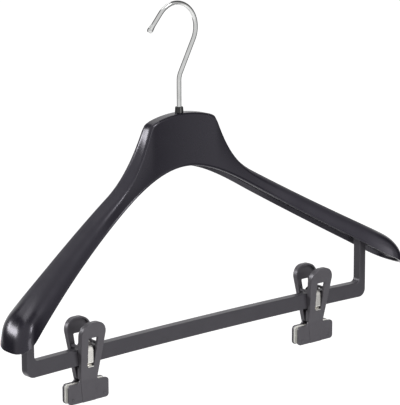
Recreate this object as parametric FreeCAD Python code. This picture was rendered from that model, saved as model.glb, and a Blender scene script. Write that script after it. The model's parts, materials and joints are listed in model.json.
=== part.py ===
import FreeCAD, Part
import math
import os
from FreeCAD import Vector

# A contoured hanger with a swivel hook, a trouser bar and two sliding pinch clips.
# Millimetres, +Z up, front towards -Y, +X to the right as seen from the front.
# The origin is where the rail touches the hook, straight above the stem.

# Hook wire
wire_diameter = 4.0
hook_bend_radius = 21.7
hook_bend_offset = 3.4
hook_bend_height = 65.1
hook_wrap_angle = 49.0
hook_leg_length = 11.5
stem_height = 25.4
stem_bend_radius = 14.0
tip_step = 0.65
tip_length = 5.0
head_step = 1.3
head_height = 2.0
head_play = 0.3
head_room = 0.4

# Collar that the wire turns in
collar_height = 5.0
collar_top_wall = 1.4
collar_taper = 0.3
collar_plug_wall = 0.9
collar_plug_depth = 6.0
collar_seat_margin = 0.4
swivel_clearance = 0.05

# Shoulder shell: heights are drops below the crown, and grow downwards
overall_width = 424.0
neck_width = 70.8
neck_thickness = 10.6
crown_drop = 5.6
crown_stop = 1.3
wall = 2.2
back_edge_start = 14.7
back_edge_slope = 0.556
back_flare_reach = 78.0
back_flare_power = 2.1
ridge_start = 20.1
ridge_slope = 0.556
ridge_flare_reach = 92.0
ridge_flare_power = 4.0
corner_softness = 2.5
low_edge_start = 28.0
low_edge_slope = 0.601
arch_drop = 44.5
arch_reach = 79.0
front_sweep = 57.8
back_sweep = 34.7
neck_front_lean = 2.6
arm_front_lean = 4.0
back_lean = 5.5
back_skirt = 2.2
back_skirt_fade_start = 80.0
back_skirt_fade_end = 180.0
neck_ridge_radius = 4.0
neck_back_radius = 2.6
arm_ridge_radius = 20.0
arm_back_radius = 9.0
edge_growth_start = 60.0
edge_growth_end = 160.0
end_radius = 16.6
end_fullness = 3.2
end_level_share = 0.08
arm_sections = 30
least_inner_share = 0.3
boss_width = 16.0
boss_depth = 17.0

# Underside cover
cover_thickness = 2.0
cover_recess = 4.0
cover_fit = 0.4
post_slot_inner = 12.5
post_slot_outer = 5.5
post_slot_side = 3.5

# Trouser bar with its posts
bar_end_inset = 24.8
bar_height = 13.3
bar_thickness = 8.0
bar_camber = 2.1
bar_drop = 184.8
bar_set_back = 5.15
bar_corner_radius = 7.0
bar_inner_radius = 4.0
bar_edge_radius = 0.8
post_width = 7.4
post_roof_gap = 2.2
socket_wall = 2.0
socket_depth = 8.0
socket_fit = 0.1
barb_height = 2.0
barb_width = 4.0
barb_step = 0.7

# Pinch clips
clip_end_distance = 61.0
lever_top = 29.5
tab_width = 26.6
tab_radius = 10.0
lever_waist = 16.4
jaw_width = 41.0
jaw_top = 21.5
jaw_bottom = 38.1
jaw_radius = 3.0
jaw_root = 20.0
jaw_gap = 0.1
jaw_step = 0.5
stud_radius = 1.2
stud_height = 0.5
stud_rounding = 0.3
stud_inset = 4.6
stud_lift = 3.8
lever_plate = 2.4
lever_bend_radius = 12.0
lever_edge_radius = 0.5
cheek_clearance = 0.85
flange_thickness = 1.5
flange_depth = 2.4
flange_gap = 0.6
flange_end = 1.6
grip_clearance = 0.05
camber_clearance = 1.6
window_top = 16.5
window_bottom = 8.3
window_top_width = 9.6
window_bottom_width = 6.8
window_radius = 0.8
fulcrum_rise = 2.25
fulcrum_radius = 0.9
fulcrum_clearance = 0.05
ear_half_height = 1.05
ear_gap = 0.5
ear_width = 2.0

# Clip spring and pads
spring_window_gap = 0.6
spring_thickness = 0.6
spring_side_gap = 2.6
spring_crown = 5.0
spring_knee = 4.5
spring_lip = 1.6
spring_seat_gap = 0.05
pad_thickness = 2.5
pad_inset = 0.5

# Levels and places that follow from the sizes
arm_reach = overall_width / 2
neck_half = neck_width / 2
wire_radius = wire_diameter / 2
tip_radius = wire_radius + tip_step
head_radius = wire_radius + head_step
collar_top_radius = wire_radius + collar_top_wall
collar_base_radius = collar_top_radius + collar_taper
collar_plug_radius = wire_radius + collar_plug_wall
hook_inner_radius = hook_bend_radius - wire_radius
bend_centre_z = -math.sqrt(hook_inner_radius ** 2 - hook_bend_offset ** 2)
collar_top_z = bend_centre_z - hook_bend_height
crown_z = collar_top_z - collar_height
bar_length = overall_width - 2 * bar_end_inset
bar_half = bar_thickness / 2
bar_low_z = crown_z - bar_drop
post_x = bar_length / 2 - post_width / 2
clip_offset = bar_length / 2 - clip_end_distance


def smooth(value, start, end):
    share = min(max((value - start) / (end - start), 0.0), 1.0)
    return share * share * (3 - 2 * share)


def rounded_edges(corners, place):
    """Edges of a closed outline. Each corner is (u, v, radius), and place turns u, v into a point."""
    joints = []
    for index, (u, v, radius) in enumerate(corners):
        here = Vector(u, v, 0)
        before = Vector(*corners[index - 1][:2], 0) - here
        after = Vector(*corners[(index + 1) % len(corners)][:2], 0) - here
        before.normalize()
        after.normalize()
        if radius == 0:
            joints.append((here, None, here))
            continue
        half = before.getAngle(after) / 2
        reach = radius / math.tan(half)
        middle = before + after
        middle.normalize()
        crest = here + middle * (radius / math.sin(half) - radius)
        joints.append((here + before * reach, crest, here + after * reach))
    edges = []
    for index, (start, crest, end) in enumerate(joints):
        if crest is not None:
            edges.append(Part.Arc(place(start), place(crest), place(end)).toShape())
        edges.append(Part.makeLine(place(end), place(joints[(index + 1) % len(joints)][0])))
    return edges


def rounded_wire(corners, place):
    return Part.Wire(rounded_edges(corners, place))


def prism_along_y(corners, start, end):
    wire = rounded_wire(corners, lambda p: Vector(p.x, start, p.y))
    return Part.Face(wire).extrude(Vector(0, end - start, 0))


def prism_along_x(corners, start, end):
    wire = rounded_wire(corners, lambda p: Vector(start, p.x, p.y))
    return Part.Face(wire).extrude(Vector(end - start, 0, 0))


def box(low, high):
    size = [high[i] - low[i] for i in range(3)]
    return Part.makeBox(*size, Vector(*low))


def upright(radius, low, high):
    return Part.makeCylinder(radius, high - low, Vector(0, 0, low))


# Outline of the shoulders, as drops below the crown at a distance x from the middle


def flare(x, start, slope, reach, power):
    x = abs(x)
    line = start + slope * x
    rise = start + slope * neck_half - crown_drop
    lift = rise * max((reach - x) / (reach - neck_half), 0.0) ** power
    crown = crown_drop * min(x / neck_half, crown_stop) ** 2
    side = line - lift
    return (crown + side + math.hypot(crown - side, corner_softness)) / 2


def back_edge_drop(x):
    return flare(x, back_edge_start, back_edge_slope, back_flare_reach, back_flare_power)


def ridge_drop(x):
    return flare(x, ridge_start, ridge_slope, ridge_flare_reach, ridge_flare_power)


def low_edge_drop(x):
    x = abs(x)
    rise = arch_drop - low_edge_start
    arch = rise * max(1 - x / arch_reach, 0.0) ** (arch_reach * low_edge_slope / rise)
    return low_edge_start + low_edge_slope * x + arch


def back_low_drop(x):
    fade = (back_skirt_fade_end - abs(x)) / (back_skirt_fade_end - back_skirt_fade_start)
    return low_edge_drop(x) + back_skirt * min(max(fade, 0.0), 1.0)


def front_y(x):
    return -neck_thickness / 2 - front_sweep * (x / arm_reach) ** 2


def back_y(x):
    return neck_thickness / 2 - back_sweep * (x / arm_reach) ** 2


# The bar hangs under the arms, so its place follows theirs
bar_y = (front_y(post_x) + back_y(post_x)) / 2 + bar_set_back
post_top_z = crown_z - ridge_drop(post_x) - wall - post_roof_gap


def below(drop, x, inset):
    """The drop of a surface that lies inset millimetres under another, measured square to it."""
    if inset == 0:
        return drop(x)
    turns = [math.radians(10 * step) for step in range(-8, 9)]
    return max(drop(x + inset * math.sin(turn)) + inset * math.cos(turn) for turn in turns)


def side_inset(sweep, x, inset):
    return inset * math.hypot(1, 2 * sweep * x / arm_reach ** 2)


def end_share(x, inset):
    past = max(abs(x) - (arm_reach - end_radius), 0.0) / (end_radius - inset)
    return max(1 - past ** end_fullness, 0.0) ** (1 / end_fullness)


def shoulder_corners(x, inset):
    """Front low, ridge, back top and back low corner at x, as (y, z, radius)."""
    front = front_y(x) + side_inset(front_sweep, x, inset)
    back = back_y(x) - side_inset(back_sweep, x, inset)
    growth = smooth(abs(x), edge_growth_start, edge_growth_end)
    front_lean = neck_front_lean + (arm_front_lean - neck_front_lean) * growth
    corners = [
        (front - front_lean, low_edge_drop(x), 0.0, 0.0),
        (front, below(ridge_drop, x, inset), neck_ridge_radius, arm_ridge_radius),
        (back, below(back_edge_drop, x, inset), neck_back_radius, arm_back_radius),
        (back + back_lean, back_low_drop(x), 0.0, 0.0),
    ]
    share = end_share(x, inset)
    middle = (corners[0][0] + corners[3][0]) / 2
    low = low_edge_drop(x)
    level = low - end_level_share * (low - (corners[1][1] + corners[2][1]) / 2)
    shaped = []
    for y, drop, neck_radius, arm_radius in corners:
        edge = neck_radius + (arm_radius - neck_radius) * growth
        radius = max(edge - inset, least_inner_share * edge) * share
        shaped.append((middle + (y - middle) * share, crown_z - level - (drop - level) * share, radius))
    return shaped


def on_wall(low, top, lift):
    """The point lift millimetres above a low corner, on the line to the top corner."""
    share = lift / (top[1] - low[1])
    return (low[0] + (top[0] - low[0]) * share, low[1] + lift, 0.0)


def room_corners(x):
    """The hollow inside the walls, run on below the rim so that it opens downwards."""
    front_low, ridge, back_top, back_low = shoulder_corners(x, wall)
    return [on_wall(front_low, ridge, -2 * wall), ridge, back_top, on_wall(back_low, back_top, -2 * wall)]


def cover_corners(x):
    inset = wall + cover_fit
    front_low, ridge, back_top, back_low = shoulder_corners(x, inset)
    low = cover_recess * end_share(x, inset)
    high = (cover_recess + cover_thickness) * end_share(x, inset)
    return [
        on_wall(front_low, ridge, low),
        on_wall(front_low, ridge, high),
        on_wall(back_low, back_top, high),
        on_wall(back_low, back_top, low),
    ]


def stations(inset):
    """Places of the sections along one arm: even steps, then closer together round the end."""
    end_start = arm_reach - end_radius
    even = [end_start * step / arm_sections for step in range(arm_sections + 1)]
    turns = [math.radians(turn) for turn in (18, 34, 48, 60, 70, 77, 82)]
    pasts = [math.sin(turn) ** (2 / end_fullness) for turn in turns]
    return even + [end_start + (end_radius - inset) * past for past in pasts]


def loft_shoulder(corner_maker, inset):
    """Lofts the right arm through its sections, and adds its mirror image on the left."""
    wires = []
    for x in stations(inset):
        wires.append(rounded_wire(corner_maker(x), lambda p, x=x: Vector(x, p.x, p.y)))
    arm = Part.makeLoft(wires, True, False)
    return arm.fuse(arm.mirror(Vector(0, 0, 0), Vector(1, 0, 0)))


def post_block(side, margin, low, high):
    middle = side * post_x
    half = post_width / 2 + margin
    depth = bar_half + margin
    return box(
        (middle - half, bar_y - depth, low),
        (middle + half, bar_y + depth, high),
    )


def barb_block(side, margin):
    """Catch on the post's inner face, near its top."""
    face = side * (post_x - post_width / 2)
    tip = face - side * (barb_step + margin)
    top = post_top_z - barb_height
    return box(
        (min(face, tip), bar_y - barb_width / 2 - margin, top - barb_height - margin),
        (max(face, tip), bar_y + barb_width / 2 + margin, top + margin),
    )


def make_shoulder_shell():
    outer = loft_shoulder(lambda x: shoulder_corners(x, 0.0), 0.0)
    room = loft_shoulder(room_corners, wall)
    boss_z = crown_z - boss_depth
    boss = box((-boss_width / 2, -neck_thickness, boss_z), (boss_width / 2, neck_thickness, crown_z))
    shell = outer.cut(room).fuse(boss.common(outer))
    foot = post_top_z - socket_depth
    for side in (-1, 1):
        socket = post_block(side, socket_wall, foot, crown_z - back_edge_drop(post_x))
        shell = shell.fuse(socket.common(outer))
        shell = shell.cut(post_block(side, socket_fit, foot - bar_height, post_top_z + socket_fit))
        shell = shell.cut(barb_block(side, socket_fit))
    head_span = head_play + head_height + head_room
    shell = shell.cut(upright(head_radius + head_room, boss_z - head_span, boss_z))
    shell = shell.cut(upright(wire_radius + swivel_clearance, boss_z, crown_z))
    shell = shell.cut(upright(collar_plug_radius, crown_z - collar_plug_depth, crown_z))
    return shell.cut(upright(collar_base_radius + collar_seat_margin, crown_z, collar_top_z))


def make_underside_cover():
    cover = loft_shoulder(cover_corners, wall + cover_fit)
    for side in (-1, 1):
        inner = side * (post_x - post_width / 2 - post_slot_inner)
        outer = side * (post_x + post_width / 2 + post_slot_outer)
        reach = bar_half + post_slot_side
        slot = box(
            (min(inner, outer), bar_y - reach, bar_low_z),
            (max(inner, outer), bar_y + reach, crown_z),
        )
        cover = cover.cut(slot)
    return cover


def make_hook_collar():
    foot = crown_z - collar_plug_depth
    body = Part.makeCone(collar_base_radius, collar_top_radius, collar_height, Vector(0, 0, crown_z))
    plug = upright(collar_plug_radius, foot, crown_z)
    bore = upright(wire_radius + swivel_clearance, foot, collar_top_z)
    return body.fuse(plug).cut(bore).removeSplitter()


def make_hook():
    """Wire from the head in the neck, up the stem, along the slanted run and round the bend to the tip."""
    centre = Vector(-hook_bend_offset, 0, bend_centre_z)
    knee = Vector(0, 0, collar_top_z + stem_height)
    span = centre - knee
    slant = math.atan2(span.x, span.z) + math.asin(hook_bend_radius / span.Length)
    run = Vector(math.sin(slant), 0, math.cos(slant))
    touch = centre + Vector(math.cos(slant), 0, -math.sin(slant)) * hook_bend_radius
    cut_back = stem_bend_radius * math.tan(slant / 2)
    knee_low = knee - Vector(0, 0, cut_back)
    knee_high = knee + run * cut_back
    knee_middle = knee_low + Vector(1 - math.cos(slant / 2), 0, math.sin(slant / 2)) * stem_bend_radius
    finish = math.radians(90 + hook_wrap_angle)
    bend_end = centre + Vector(math.cos(finish), 0, math.sin(finish)) * hook_bend_radius
    leg = Vector(-math.sin(finish), 0, math.cos(finish))
    leg_end = bend_end + leg * hook_leg_length
    bottom = Vector(0, 0, crown_z - boss_depth - head_play)
    path = Part.Wire([
        Part.makeLine(bottom, knee_low),
        Part.Arc(knee_low, knee_middle, knee_high).toShape(),
        Part.makeLine(knee_high, touch),
        Part.Arc(touch, centre + Vector(0, 0, hook_bend_radius), bend_end).toShape(),
        Part.makeLine(bend_end, leg_end),
    ])
    ring = Part.Wire(Part.makeCircle(wire_radius, bottom, Vector(0, 0, 1)))
    wire = path.makePipeShell([ring], True, False)
    tip = Part.makeCone(wire_radius, tip_radius, tip_length, leg_end, leg)
    ball = Part.makeSphere(tip_radius, leg_end + leg * tip_length)
    head = upright(head_radius, bottom.z - head_height, bottom.z)
    return wire.fuse(tip.fuse(ball)).fuse(head).removeSplitter()


def bar_lift(x):
    return bar_camber * (1 - (2 * x / bar_length) ** 2)


def make_trouser_bar():
    half = bar_length / 2
    inner = half - post_width
    low, top = bar_low_z, post_top_z
    shelf = low + bar_height

    def point(x, z):
        return Vector(x, bar_y - bar_half, z)

    outline = [
        Part.Arc(point(-half, low), point(0, low + bar_camber), point(half, low)).toShape(),
        Part.makeLine(point(half, low), point(half, top)),
        Part.makeLine(point(half, top), point(inner, top)),
        Part.makeLine(point(inner, top), point(inner, shelf + bar_lift(inner))),
        Part.Arc(
            point(inner, shelf + bar_lift(inner)),
            point(0, shelf + bar_camber),
            point(-inner, shelf + bar_lift(inner)),
        ).toShape(),
        Part.makeLine(point(-inner, shelf + bar_lift(inner)), point(-inner, top)),
        Part.makeLine(point(-inner, top), point(-half, top)),
        Part.makeLine(point(-half, top), point(-half, low)),
    ]
    bar = Part.Face(Part.Wire(outline)).extrude(Vector(0, bar_thickness, 0))

    def corner_edges(x, z):
        found = []
        for edge in bar.Edges:
            centre = edge.CenterOfMass
            if abs(abs(centre.x) - x) < 0.01 and abs(centre.z - z) < 0.01 and len(edge.Vertexes) == 2:
                found.append(edge)
        return found

    bar = bar.makeFillet(bar_corner_radius, corner_edges(half, low))
    bar = bar.makeFillet(bar_inner_radius, corner_edges(inner, shelf + bar_lift(inner)))
    rim = []
    for edge in bar.Edges:
        spread = edge.BoundBox
        if spread.YLength < 0.01 and spread.ZMin < top - barb_height:
            rim.append(edge)
    bar = bar.makeFillet(bar_edge_radius, rim)
    for side in (-1, 1):
        bar = bar.fuse(barb_block(side, 0.0))
    return bar


# Clip levers: y is the distance from the bar's middle plane, z from the bar's middle at the clip


jaw_face = jaw_gap / 2 + pad_thickness
cheek_z = -bar_height / 2
fulcrum_z = bar_height / 2 + fulcrum_rise


lever_slope = (bar_half + cheek_clearance - jaw_face) / (jaw_root + cheek_z)


def inner_face(z):
    """Inner face of a lever: straight up in the jaw, then leaning out past the bar's lower edge."""
    return jaw_face + lever_slope * max(z + jaw_root, 0.0)


def outer_face(z):
    return inner_face(z) + lever_plate


def blade_half(z):
    """Half the width of the lever's blade, which narrows evenly from the tab to the foot of the jaw."""
    return lever_waist / 2 + (tab_width - lever_waist) / 2 * (z + jaw_top) / (lever_top + jaw_top)


def blade_outline(shrink):
    top = lever_top - shrink
    low = -jaw_bottom
    return [
        (-blade_half(lever_top) + shrink, top, tab_radius - shrink),
        (blade_half(lever_top) - shrink, top, tab_radius - shrink),
        (blade_half(low) - shrink, low, 0),
        (-blade_half(low) + shrink, low, 0),
    ]


def jaw_outline():
    """The wide jaw plate, run on up behind the blade so that their meeting is rounded."""
    jaw = jaw_width / 2
    high = -jaw_top + 2 * jaw_radius
    half = blade_half(high)
    waist = lever_waist / 2
    return [
        (-half, high, 0),
        (half, high, 0),
        (waist, -jaw_top, jaw_radius),
        (jaw, -jaw_top, jaw_radius),
        (jaw, -jaw_bottom, jaw_radius),
        (-jaw, -jaw_bottom, jaw_radius),
        (-jaw, -jaw_top, jaw_radius),
        (-waist, -jaw_top, jaw_radius),
    ]


def bent_plate(thickness, outline):
    """A plate that follows the lever's bend, cut to an outline, with its outer edges rounded."""
    high, low = lever_top + lever_plate, -jaw_bottom - lever_plate
    side = [
        (inner_face(low) + thickness, low, 0),
        (inner_face(-jaw_root) + thickness, -jaw_root, lever_bend_radius),
        (inner_face(high) + thickness, high, 0),
        (inner_face(high), high, 0),
        (inner_face(-jaw_root), -jaw_root, lever_bend_radius),
        (inner_face(low), low, 0),
    ]
    whole = prism_along_x(side, -jaw_width, jaw_width)
    return soften_outline(whole.common(prism_along_y(outline, 0, outer_face(high))), thickness)


def pad_stud(side):
    """Round stud on the jaw, over the pin that holds the pad."""
    foot = outer_face(-jaw_root) - jaw_step
    place = Vector(side * (jaw_width / 2 - stud_inset), foot, -jaw_bottom + stud_lift)
    stud = Part.makeCylinder(stud_radius, stud_height, place, Vector(0, 1, 0))
    rim = [edge for edge in stud.Edges if edge.BoundBox.YMin > foot + stud_height / 2]
    return stud.makeFillet(stud_rounding, rim)


def lever_shape(knuckle):
    """Rear lever about the clip's middle. The knuckle turns in the other lever's cradle."""
    depth = outer_face(lever_top) + lever_plate
    wide = jaw_width
    lever = bent_plate(lever_plate, blade_outline(0.0))
    lever = lever.fuse(bent_plate(lever_plate - jaw_step, jaw_outline()))
    low = -jaw_root + flange_end
    narrow = -jaw_root + (flange_gap + flange_depth - jaw_face) / lever_slope
    flange_side = [
        (inner_face(low), low, 0),
        (inner_face(lever_top), lever_top, 0),
        (inner_face(lever_top) - flange_depth, lever_top, 0),
        (flange_gap, narrow, 0),
        (flange_gap, low, 0),
    ]
    hollow = prism_along_y(blade_outline(flange_thickness), 0, depth)
    ring = prism_along_y(blade_outline(0.0), 0, depth).cut(hollow)
    flange = prism_along_x(flange_side, -wide, wide).common(ring)
    lever = lever.fuse(flange)
    room = bar_half + grip_clearance
    bar_room = box(
        (-wide, -room, cheek_z - camber_clearance),
        (wide, room, fulcrum_z - ear_half_height),
    )
    lever = lever.cut(bar_room)
    for side in (-1, 1):
        outside = side * (blade_half(fulcrum_z) - flange_thickness / 2)
        inside = outside - side * ear_width
        low_x, high_x = min(outside, inside), max(outside, inside)
        ear = box(
            (low_x, ear_gap, fulcrum_z - ear_half_height),
            (high_x, inner_face(fulcrum_z) + lever_plate / 2, fulcrum_z + ear_half_height),
        )
        lever = lever.fuse(ear)
        pin_start = Vector(low_x, 0, fulcrum_z)
        if knuckle:
            lever = lever.fuse(Part.makeCylinder(fulcrum_radius, ear_width, pin_start, Vector(1, 0, 0)))
        else:
            cradle = fulcrum_radius + fulcrum_clearance
            lever = lever.cut(Part.makeCylinder(cradle, ear_width, pin_start, Vector(1, 0, 0)))
        lever = lever.fuse(pad_stud(side))
    window = [
        (-window_bottom_width / 2, -window_bottom, window_radius),
        (window_bottom_width / 2, -window_bottom, window_radius),
        (window_top_width / 2, window_top, window_radius),
        (-window_top_width / 2, window_top, window_radius),
    ]
    lever = lever.cut(prism_along_y(window, 0, depth))
    return lever.removeSplitter()


def soften_outline(lever, thickness):
    """Rounds the edges where the outer face meets the sides."""
    edges = []
    for edge in lever.Edges:
        middle = edge.valueAt((edge.FirstParameter + edge.LastParameter) / 2)
        faces = lever.ancestorsOfType(edge, Part.Face)
        normals = [face.normalAt(*face.Surface.parameter(middle)) for face in faces]
        sharp = normals[0].getAngle(normals[1]) > 1
        if sharp and middle.y > inner_face(middle.z) + 0.8 * thickness:
            edges.append(edge)
    return lever.makeFillet(lever_edge_radius, edges)


def pad_shape():
    half = jaw_width / 2 - pad_inset
    low, high = -jaw_bottom + pad_inset, -jaw_top - pad_inset
    corner = jaw_radius - pad_inset
    outline = [(-half, low, corner), (half, low, corner), (half, high, corner), (-half, high, corner)]
    return prism_along_y(outline, jaw_gap / 2, jaw_face)


def spring_shape():
    """Flat strip: from the lip outside one window, over the bar, to the lip outside the other."""
    half = spring_thickness / 2
    leg = bar_half + spring_side_gap + half
    crown = bar_height / 2 + spring_crown - half
    seat = outer_face(-window_bottom) + spring_seat_gap + half
    shoulder = crown - leg

    def point(y, z):
        return Vector(0, y, z)

    corners = [(seat, -window_bottom - spring_lip), (seat, -window_bottom + half), (leg, -spring_knee)]
    right = [point(y, z) for y, z in corners] + [point(leg, shoulder)]
    left = [point(-p.y, p.z) for p in reversed(right)]
    runs = [Part.makeLine(right[i], right[i + 1]) for i in range(3)]
    runs.append(Part.Arc(right[3], point(0, crown), left[0]).toShape())
    runs += [Part.makeLine(left[i], left[i + 1]) for i in range(3)]
    start = right[0]
    wide = window_bottom_width / 2 - spring_window_gap
    strip_end = Part.makePolygon([
        Vector(-wide, start.y - half, start.z),
        Vector(wide, start.y - half, start.z),
        Vector(wide, start.y + half, start.z),
        Vector(-wide, start.y + half, start.z),
        Vector(-wide, start.y - half, start.z),
    ])
    return Part.Wire(runs).makePipeShell([strip_end], True, False, 1)


def clip_pieces():
    """The five pieces of a clip about its own middle, front pieces turned round from the rear ones."""
    to_front = FreeCAD.Placement(Vector(0, 0, 0), FreeCAD.Rotation(Vector(0, 0, 1), 180))
    pieces = {
        "rear_lever": lever_shape(True),
        "front_lever": lever_shape(False),
        "rear_pad": pad_shape(),
        "front_pad": pad_shape(),
        "clip_spring": spring_shape(),
    }
    for name in ("front_lever", "front_pad"):
        pieces[name] = pieces[name].transformGeometry(to_front.toMatrix())
    return pieces


def main():
    os.makedirs("parts", exist_ok=True)
    nodes = {
        "hook": make_hook(),
        "hook_collar": make_hook_collar(),
        "shoulder_shell": make_shoulder_shell(),
        "underside_cover": make_underside_cover(),
        "trouser_bar": make_trouser_bar(),
    }
    pieces = clip_pieces()
    for side, sign in (("left", -1), ("right", 1)):
        x = sign * clip_offset
        middle = Vector(x, bar_y, bar_low_z + bar_lift(x) + bar_height / 2)
        for name, shape in pieces.items():
            nodes[side + "_" + name] = shape.translated(middle)
    for name, shape in nodes.items():
        print(name, "solids", len(shape.Solids), "volume", round(shape.Volume), "valid", shape.isValid())
        shape.exportStep("parts/" + name + ".step")


main()
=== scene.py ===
import bpy
import bmesh
import json
import math
from mathutils import Vector, Matrix

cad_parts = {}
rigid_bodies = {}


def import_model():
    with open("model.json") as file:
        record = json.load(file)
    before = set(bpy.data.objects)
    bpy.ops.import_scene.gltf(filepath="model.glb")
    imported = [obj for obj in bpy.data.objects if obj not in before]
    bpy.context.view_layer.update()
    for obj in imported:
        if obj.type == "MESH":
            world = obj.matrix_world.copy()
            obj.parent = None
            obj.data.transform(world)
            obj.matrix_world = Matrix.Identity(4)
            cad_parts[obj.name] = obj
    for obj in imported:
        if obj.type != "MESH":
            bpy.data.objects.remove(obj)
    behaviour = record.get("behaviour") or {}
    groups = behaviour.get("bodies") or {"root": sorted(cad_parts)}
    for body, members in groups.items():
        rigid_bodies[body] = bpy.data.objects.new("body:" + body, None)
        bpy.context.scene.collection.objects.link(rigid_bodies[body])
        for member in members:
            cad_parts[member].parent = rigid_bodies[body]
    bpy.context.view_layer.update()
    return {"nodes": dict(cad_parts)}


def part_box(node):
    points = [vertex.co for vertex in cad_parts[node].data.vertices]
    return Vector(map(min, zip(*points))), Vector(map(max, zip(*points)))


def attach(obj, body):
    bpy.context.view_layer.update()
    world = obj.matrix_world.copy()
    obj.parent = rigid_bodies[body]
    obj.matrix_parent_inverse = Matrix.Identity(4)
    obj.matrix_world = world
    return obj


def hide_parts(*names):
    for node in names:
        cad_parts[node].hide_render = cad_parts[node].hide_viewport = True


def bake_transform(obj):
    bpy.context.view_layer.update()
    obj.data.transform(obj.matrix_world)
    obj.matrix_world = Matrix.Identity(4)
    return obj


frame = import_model()
print("frame loaded:", ", ".join(sorted(frame["nodes"])))

mm = 0.001
crownZ = -89.504                                     # top of the shoulders, below the rail's touch point
barY = -29.50045                                     # middle of the bar, in front of the hook's stem
mergeGap = 1e-7                                      # points closer than this are merged, in metres
normalWeight = 80                                    # how far large faces rule the shading of soft edges
world = bpy.context.scene.world or bpy.data.worlds.new("studio")
bpy.context.scene.world = world


# shared mesh helpers

def smoothStep(value, start, end):
    share = min(max((value - start) / (end - start), 0.0), 1.0)
    return share * share * (3 - 2 * share)


def arcAround(corner, before, after, radius, steps):
    # points of a rounded corner, from the side towards before to the side towards after
    a = (before - corner).normalized()
    b = (after - corner).normalized()
    half = a.angle(b) / 2
    centre = corner + (a + b).normalized() * (radius / math.sin(half))
    start = corner + a * (radius / math.tan(half)) - centre
    end = corner + b * (radius / math.tan(half)) - centre
    turn = math.atan2(start.x * end.y - start.y * end.x, start.dot(end))
    points = []
    for step in range(steps + 1):
        angle = turn * step / steps
        cosine, sine = math.cos(angle), math.sin(angle)
        turned = Vector((start.x * cosine - start.y * sine, start.x * sine + start.y * cosine))
        points.append(centre + turned)
    return points


def roundedOutline(corners, steps):
    points = []
    for index, (u, v, radius) in enumerate(corners):
        before = Vector(corners[index - 1][:2])
        after = Vector(corners[(index + 1) % len(corners)][:2])
        if radius > 0:
            points += arcAround(Vector((u, v)), before, after, radius, steps)
        else:
            points.append(Vector((u, v)))
    return points


def ringFaces(rows, count, closed=False):
    # quads between neighbouring rings of points; closed joins the last ring to the first
    faces = []
    for row in range(rows if closed else rows - 1):
        here, following = row * count, (row + 1) % rows * count
        for k in range(count):
            n = (k + 1) % count
            faces.append((here + k, here + n, following + n, following + k))
    return faces


def closeSeams(mesh):
    # double points merged, then faces turned outwards
    form = bmesh.new()
    form.from_mesh(mesh)
    bmesh.ops.remove_doubles(form, verts=form.verts, dist=mergeGap)
    bmesh.ops.recalc_face_normals(form, faces=form.faces)
    form.to_mesh(mesh)
    form.free()


def meshPiece(name, points, faces, material):
    mesh = bpy.data.meshes.new(name)
    mesh.from_pydata([tuple(c * mm for c in p) for p in points], [], faces)
    closeSeams(mesh)
    mesh.shade_smooth()
    mesh.materials.append(material)
    piece = bpy.data.objects.new(name, mesh)
    bpy.context.scene.collection.objects.link(piece)
    return piece


def evenNormals(piece, sharpAngle):
    piece.data.set_sharp_from_angle(angle=math.radians(sharpAngle))
    weighted = piece.modifiers.new("evenNormals", "WEIGHTED_NORMAL")
    weighted.keep_sharp = True
    weighted.weight = normalWeight


def fit(piece, body, node):
    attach(piece, body)
    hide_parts(node)


def dress(node, material):
    # a solid that stays as it came, in the scene's finish
    node.data.materials.clear()
    node.data.materials.append(material)


# shared surface effects, built once and placed in each material with its own values
effects = dict(grainDetail=3.0, rippleDetail=2.0, smearDetail=5.0, smearTwist=1.2, smearRange=(0.35, 0.7))


def newGroup(name, inputs, outputs):
    group = bpy.data.node_groups.new(name, "ShaderNodeTree")
    for way, sockets in (("INPUT", inputs), ("OUTPUT", outputs)):
        for label, kind in sockets:
            group.interface.new_socket(label, in_out=way, socket_type=kind)
    return group, group.nodes.new("NodeGroupInput"), group.nodes.new("NodeGroupOutput")


def mouldGrainGroup():
    # fine grain over slow ripples as a height, and the ripples alone for patches of colour
    group, given, result = newGroup(
        "mouldGrain",
        [("Vector", "NodeSocketVector"), ("Grains per metre", "NodeSocketFloat"),
         ("Ripple per metre", "NodeSocketFloat"), ("Ripple share", "NodeSocketFloat")],
        [("Height", "NodeSocketFloat"), ("Patch", "NodeSocketFloat")])
    grain = group.nodes.new("ShaderNodeTexNoise")
    grain.inputs["Detail"].default_value = effects["grainDetail"]
    ripple = group.nodes.new("ShaderNodeTexNoise")
    ripple.inputs["Detail"].default_value = effects["rippleDetail"]
    blend = group.nodes.new("ShaderNodeMix")
    link = group.links.new
    link(given.outputs["Vector"], grain.inputs["Vector"])
    link(given.outputs["Grains per metre"], grain.inputs["Scale"])
    link(given.outputs["Vector"], ripple.inputs["Vector"])
    link(given.outputs["Ripple per metre"], ripple.inputs["Scale"])
    link(given.outputs["Ripple share"], blend.inputs["Factor"])
    link(grain.outputs["Fac"], blend.inputs["A"])
    link(ripple.outputs["Fac"], blend.inputs["B"])
    link(blend.outputs["Result"], result.inputs["Height"])
    link(ripple.outputs["Fac"], result.inputs["Patch"])
    return group


def handlingGroup():
    # faint smears from handling, as a mask
    group, given, result = newGroup(
        "handling",
        [("Vector", "NodeSocketVector"), ("Smears per metre", "NodeSocketFloat")],
        [("Smear", "NodeSocketFloat")])
    smear = group.nodes.new("ShaderNodeTexNoise")
    smear.inputs["Detail"].default_value = effects["smearDetail"]
    smear.inputs["Distortion"].default_value = effects["smearTwist"]
    spread = group.nodes.new("ShaderNodeMapRange")
    spread.inputs["From Min"].default_value, spread.inputs["From Max"].default_value = effects["smearRange"]
    link = group.links.new
    link(given.outputs["Vector"], smear.inputs["Vector"])
    link(given.outputs["Smears per metre"], smear.inputs["Scale"])
    link(smear.outputs["Fac"], spread.inputs["Value"])
    link(spread.outputs["Result"], result.inputs["Smear"])
    return group


mouldGrain = mouldGrainGroup()
handling = handlingGroup()


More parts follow.
